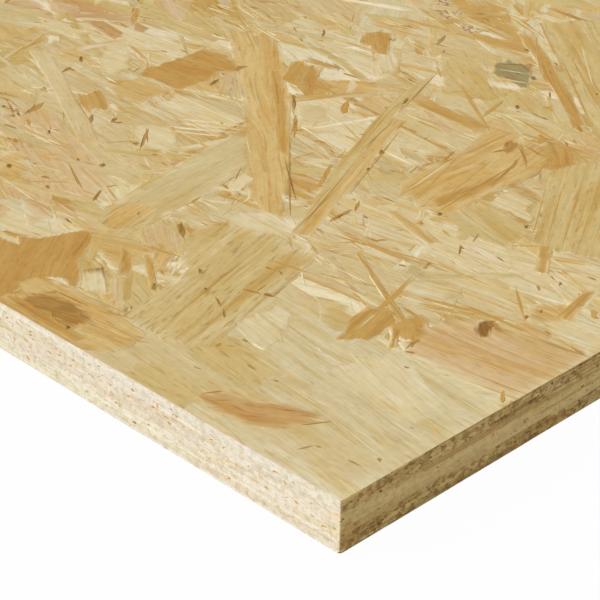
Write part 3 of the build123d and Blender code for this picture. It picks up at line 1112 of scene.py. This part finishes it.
def join_lanes(flakes, name):
    """Joins the strands of a face in lanes along the board."""
    lane = width / lane_count
    for i in range(lane_count):
        low = i * lane - width / 2
        chosen = [flake for flake in flakes.laid if low <= flake.flat[:, 1].mean() < low + lane]
        flakes.piece(f"{name}_{i + 1}", strand_material, chosen, lane_rows)


join_lanes(top_flakes, "top_face_strands")


# Under face strands
# The other pressed face, of the same thin strands laid mostly along the board. It is pressed and left
# as the top one is, and all its strands fall by chance.

under_side = Side((0, 0, 0), (1, 0, 0), (0, -1, 0), length / 2, width / 2)
under_corner_cut = 1.2
under_upper_count = 600
under_scatter = (250, 450, 200)
under_rim = under_side.rim(face_set_back, under_corner_cut, under_corner_cut)
under_flakes = Flakes(under_side, under_rim, strand_thick, face_cell, tones["straw"])
under_rng = np.random.default_rng(12)


def under_room_for(middle, breadth):
    """Lets strands fall anywhere on this face."""
    return True


lay_face(under_flakes, under_rng, under_upper_count, under_room_for)
scatter(under_flakes, under_rng, (0, 0), (length, width), under_scatter, under_room_for)
under_flakes.settle()
join_lanes(under_flakes, "under_face_strands")


# Sawn edges
# The four sides that the saw leaves: the strands of the two face layers and of the core between them,
# cut through, those of the core lying across the others. Small gaps show as dark specks of painted
# shade, and bits of bark as specks of their own colour.

edge_layer = 5.0
edge_levels = (-0.07, -0.03)
speck_levels = (-0.028, -0.012)
edge_under_faces = 0.17
edge_thick = 0.3
edge_cell = 0.25
row_thick = {"along": (0.8, 1.7), "across": (0.7, 1.3)}
row_share = 0.85
row_start = 40
row_stray = 0.15
long_cut_runs = (35, 110)
end_cut_run, end_cut_run_spread = 16, 6
end_cut_run_limits = (5, 34)
cut_stray = {"along": 0.004, "across": 0.02}
cut_pitch_shares = (0.85, 1.0)
cut_overlap_along, cut_overlap_across = 1.25, 1.7
cut_fade_share = 0.3
cut_slope = 0.15
least_pores = 0.4
section_shape = np.array([(-0.5, 0.1), (-0.47, -0.5), (0.48, -0.5), (0.5, -0.1), (0.46, 0.5), (-0.48, 0.5)])


def lay_sections(flakes, rng, low, high, cut, kind, blotchiness):
    """Fills one layer of an edge with rows of strands that the saw cut along or across."""
    names, shares = kind
    reach = flakes.side.reach[0]
    height = low
    while height < high:
        thick = rng.uniform(*row_thick[cut])
        place = -reach - rng.uniform(0, row_start)
        while place < reach:
            if cut == "along":
                run = rng.uniform(*long_cut_runs)
            else:
                run = float(np.clip(rng.normal(end_cut_run, end_cut_run_spread), *end_cut_run_limits))
            tilt = rng.normal(0, cut_stray[cut])
            middle = (place + run / 2, height - thickness / 2 + rng.normal(0, row_stray))
            size = (run * cut_overlap_along, thick * cut_overlap_across)
            outline = turned(section_shape * size, tilt, middle)
            pores = least_pores + (1 - least_pores) * blotchiness
            habits = (rng.beta(*streak_skew), pores, blotchiness)
            tone = random_tone(rng, names, shares)
            level, seed = rng.uniform(*edge_levels), rng.uniform(*grain_seeds)
            flakes.lay(outline, level, tone, tilt, seed, habits, cut_fade_share * thick, cut_slope)
            place += run * rng.uniform(*cut_pitch_shares)
        height += thick * row_share


speck_breadth_shares = (0.25, 0.6)
speck_stray = 0.35
speck_habits = (0.3, 0.3, 0.0)
speck_fade_share = 0.4
speck_slope_share = 0.2
speck_proud = 0.002


def lay_specks(flakes, rng, low, high, pitch, sizes, kind):
    """Scatters bits of bark, cut pores and open gaps over one layer of an edge; the dark of the open gaps is
    painted shade.
    """
    names, shares = kind
    reach = flakes.side.reach[0]
    for i in range(int(2 * reach * (high - low) / pitch**2)):
        middle = (rng.uniform(-reach, reach), rng.uniform(low, high) - thickness / 2)
        run = rng.uniform(*sizes)
        breadth = run * rng.uniform(*speck_breadth_shares)
        outline = turned(sliver_outline(rng, run, breadth), rng.normal(0, speck_stray), middle)
        tone = random_tone(rng, names, shares)
        level, seed = rng.uniform(*speck_levels), rng.uniform(*grain_seeds)
        fade, slope = speck_fade_share * breadth, speck_slope_share * breadth
        flakes.lay(outline, level, tone, 0.0, seed, speck_habits, fade, slope, proud=speck_proud)


# The long edges' tones are paler and greyer than the short edges': partly the wood sawn along the strands,
# partly a painted highlight, the sheen of an edge that faces the lamp, given to both long edges.
tones.update({
    "long_lit_white": linear(217, 209, 191),
    "long_lit_pale": linear(212, 203, 182),
    "long_lit_cream": linear(208, 196, 169),
    "long_lit_pink": linear(212, 196, 167),
    "short_pale": linear(230, 204, 141),
    "short_straw": linear(220, 190, 125),
    "short_tan": linear(202, 168, 104),
    "short_brown": linear(176, 140, 82),
    "speck_ochre": linear(190, 142, 80),
    "speck_olive": linear(174, 154, 106),
    "speck_pink": linear(207, 178, 132),
    "speck_brown": linear(146, 116, 64),
    "speck_dark": linear(126, 100, 56),
})
long_faces = (["long_lit_white", "long_lit_pale", "long_lit_cream"], [0.4, 0.4, 0.2])
long_core = (["long_lit_white", "long_lit_pale", "long_lit_cream", "long_lit_pink"], [0.35, 0.35, 0.18, 0.12])
short_core = (["short_pale", "short_straw", "short_tan"], [0.5, 0.35, 0.15])
short_faces = (["short_pale", "short_straw", "short_tan", "short_brown"], [0.15, 0.35, 0.35, 0.15])
long_specks = (["speck_ochre", "speck_olive", "speck_pink", "speck_brown"], [0.4, 0.15, 0.4, 0.05])
short_specks = (["speck_ochre", "speck_olive", "speck_brown", "speck_dark"], [0.3, 0.25, 0.3, 0.15])

edge_material, wood, edge_wood = new_material("sawn_edge_wood")
grain = wood.parts("grain")
along, across, seed = grain
streakiness, poriness, blotchiness = wood.parts("habits")
colour = worn_colour(wood, grain, 0.5, 1.6)
fuzz = wood.noise(along * 1.3, across * 2.4, seed, detail=3.0) - 0.5
streak = wood.noise(along * 0.05, across * 1.8, seed + 5.0, detail=3.0).ease(0.46, 0.70)
pore = wood.noise(along * 0.42, across * 1.0, seed + 9.0, detail=3.0).ease(0.51, 0.64)
# Pits are small voids in the sawn wood, and their dark is painted shade.
pit_shade = wood.noise(along * 1.1, across * 1.7, seed + 15.0, detail=2.0).ease(0.60, 0.70)
blotch = wood.mottle(430.0).ease(0.46, 0.64)
colour = colour.stained(streak * streakiness * 0.7, 0.86, 0.76, 0.58)
colour = colour.stained(pore * poriness * 0.65, 0.76, 0.63, 0.44)
colour = colour.stained(pit_shade * poriness * 0.8, 0.60, 0.46, 0.30)
colour = colour.stained(blotch * blotchiness, 0.60, 0.52, 0.40)
colour = colour.lit(1.07 + fuzz * 0.21)
colour.feed(edge_wood, "Base Color")
ridge(wood, edge_wood, 0.4, 0.2 * MM, fuzz - pore * 0.6)
(0.78 + fuzz * 0.15).feed(edge_wood, "Roughness")
edge_wood.inputs["Specular IOR Level"].default_value = 0.25

edges = [
    ("front_long_edge", (0, -width / 2, thickness / 2), (1, 0, 0), length / 2, True, 31),
    ("back_long_edge", (0, width / 2, thickness / 2), (-1, 0, 0), length / 2, True, 32),
    ("right_short_edge", (length / 2, 0, thickness / 2), (0, 1, 0), width / 2, False, 33),
    ("left_short_edge", (-length / 2, 0, thickness / 2), (0, -1, 0), width / 2, False, 34),
]
edge_set_back = 0.02
edge_lower_corner, edge_upper_corner = 1.0, 0.2
layer_overlap = 0.6
long_blotches = (0.3, 0.3, 0.3)
short_blotches = (1.0, 0.2, 1.0)
fine_specks = (0.8, 2.6)
coarse_specks = (1.2, 3.4)
long_speck_margin, long_speck_pitch, long_core_pitch = 2.4, 3.2, 6.5
short_speck_margin, short_speck_pitch, short_core_pitch = 0.5, 2.0, 4.0
long_rows, short_rows = 8, 4

# Nicks along an upright corner of each short edge, their shade painted as dark marks: height, run along the
# edge and breadth.
corner_nicks = [
    (15.6, 2.4, 0.8), (14.4, 1.6, 0.7), (11.0, 1.4, 0.5), (6.1, 2.2, 0.8), (4.8, 1.4, 0.6),
    (3.2, 2.0, 0.8), (1.9, 1.4, 0.6),
]
nick_inset_share = 0.45
for name, middle, way, reach, is_long, seed_number in edges:
    side = Side(middle, way, (0, 0, 1), reach, thickness / 2 - edge_under_faces)
    ground_tone = tones["long_lit_pale" if is_long else "short_straw"]
    rim = side.rim(edge_set_back, edge_lower_corner, edge_upper_corner)
    flakes = Flakes(side, rim, edge_thick, edge_cell, ground_tone)
    rng = np.random.default_rng(seed_number)
    upper = thickness - edge_layer
    layers = ((0, edge_layer), (edge_layer, upper), (upper, thickness))
    cuts = ("along", "across", "along") if is_long else ("across", "along", "across")
    kinds = (long_faces, long_core, long_faces) if is_long else (short_faces, short_core, short_faces)
    blotches = long_blotches if is_long else short_blotches
    for (low, high), cut, kind, blotchiness in zip(layers, cuts, kinds, blotches):
        lay_sections(flakes, rng, low, high + layer_overlap, cut, kind, blotchiness)
    if is_long:
        low, high = long_speck_margin, thickness - long_speck_margin
        lay_specks(flakes, rng, low, high, long_speck_pitch, fine_specks, long_specks)
        lay_specks(flakes, rng, edge_layer, upper, long_core_pitch, coarse_specks, long_specks)
    else:
        low, high = short_speck_margin, thickness - short_speck_margin
        lay_specks(flakes, rng, low, edge_layer, short_speck_pitch, coarse_specks, short_specks)
        lay_specks(flakes, rng, upper, high, short_speck_pitch, fine_specks, short_specks)
        lay_specks(flakes, rng, edge_layer, upper, short_core_pitch, fine_specks, short_specks)
        for height, run, breadth in corner_nicks:
            middle = (nick_inset_share * run - reach, height - thickness / 2)
            lay_mark(flakes, rng, middle, run, breadth, speck_levels[1], 0.0, tones["speck_brown"])
    flakes.settle()
    flakes.piece(name, edge_material, flakes.laid, long_rows if is_long else short_rows)


# Studio
# Where the board lies to be looked at: a pale floor that keeps a faint shadow, even soft light all
# round, one soft lamp from the left, and a camera that looks down on the front corner.

# The floor and the lamp are placed in metres.
floor_size = 14.0
floor_below = 0.0004
floor_grey = 0.55
floor_whiteness = 0.975
bpy.ops.mesh.primitive_plane_add(size=floor_size, location=(0, 0, -floor_below))
floor = bpy.context.object
floor.name = "floor"
floor_material = bpy.data.materials.new("pale_floor")
floor_material.use_nodes = True
floor_tree = floor_material.node_tree
floor_tree.nodes.remove(floor_tree.nodes["Principled BSDF"])
floor_shade = Shade(floor_tree)
seen = floor_shade.node("ShaderNodeLightPath", {}, {}, result="Is Camera Ray")
mirrored = Shade(floor_tree, seen.socket.node.outputs["Is Glossy Ray"])
floor_white = floor_shade.node("ShaderNodeEmission", {}, {"Color": (1, 1, 1, 1), "Strength": 1.0})
floor_matt = floor_shade.node("ShaderNodeBsdfDiffuse", {}, {"Color": (floor_grey, floor_grey, floor_grey, 1)})
floor_factor = floor_shade.math("MAXIMUM", seen, mirrored) * floor_whiteness
floor_mix = floor_shade.node("ShaderNodeMixShader", {}, {0: floor_factor, 1: floor_matt, 2: floor_white})
floor_tree.links.new(floor_mix.socket, floor_tree.nodes["Material Output"].inputs["Surface"])
floor.data.materials.append(floor_material)

scene = bpy.context.scene
scene.view_settings.view_transform = "Standard"
room = bpy.data.worlds.new("studio_room")
room.use_nodes = True
scene.world = room
room_shade = Shade(room.node_tree)
room_light = 0.54
seen = room_shade.node("ShaderNodeLightPath", {}, {}, result="Is Camera Ray")
room_strength = seen * (1.0 - room_light) + room_light
room_background = room.node_tree.nodes["Background"]
room_background.inputs["Color"].default_value = (1, 1, 1, 1)
room.node_tree.links.new(room_strength.socket, room_background.inputs["Strength"])

lamp_from = np.array([-0.43, -0.75, 0.5])
lamp_place = (-1.0, -1.6, 1.2)
lamp_strength = 0.92 * math.pi
lamp_spread = math.radians(30)
bpy.ops.object.light_add(type="SUN", location=lamp_place)
lamp = bpy.context.object
lamp.name = "soft_lamp"
lamp.data.energy = lamp_strength
lamp.data.angle = lamp_spread
lamp_lean = math.acos(lamp_from[2] / np.linalg.norm(lamp_from))
lamp.rotation_euler = (lamp_lean, 0, math.atan2(lamp_from[0], -lamp_from[1]))

# The camera is placed by where the front corner shows in the picture, in pixels, and by how far off it
# lies, in millimetres.
picture_size = 600
focal_pixels = 2052
corner_pixel = (340.6, 501.15)
corner_depth = 551.1
camera_bearing = math.radians(45.337)
camera_dip = math.radians(29.773)
camera_roll = math.radians(0.3405)
sensor_width = 36.0
bpy.ops.object.camera_add()
camera = bpy.context.object
camera.name = "camera"
camera.data.sensor_width = sensor_width
camera.data.lens = sensor_width * focal_pixels / picture_size
scene.camera = camera
level_right = np.array([math.cos(camera_bearing), math.sin(camera_bearing), 0])
level_ahead = np.array([-math.sin(camera_bearing), math.cos(camera_bearing), 0])
ahead = math.cos(camera_dip) * level_ahead - math.sin(camera_dip) * np.array([0, 0, 1])
right = math.cos(camera_roll) * level_right + math.sin(camera_roll) * np.cross(level_right, ahead)
up = np.cross(right, ahead)
corner_offset = (np.array(corner_pixel) - picture_size / 2) / focal_pixels * corner_depth
front_corner = np.array([length / 2, -width / 2, thickness])
camera_place = front_corner - corner_offset[0] * right + corner_offset[1] * up - corner_depth * ahead
camera_turn = Matrix([[*values] for values in zip(right, up, -ahead)]).to_4x4()
camera_turn.translation = camera_place * MM
camera.matrix_world = camera_turn
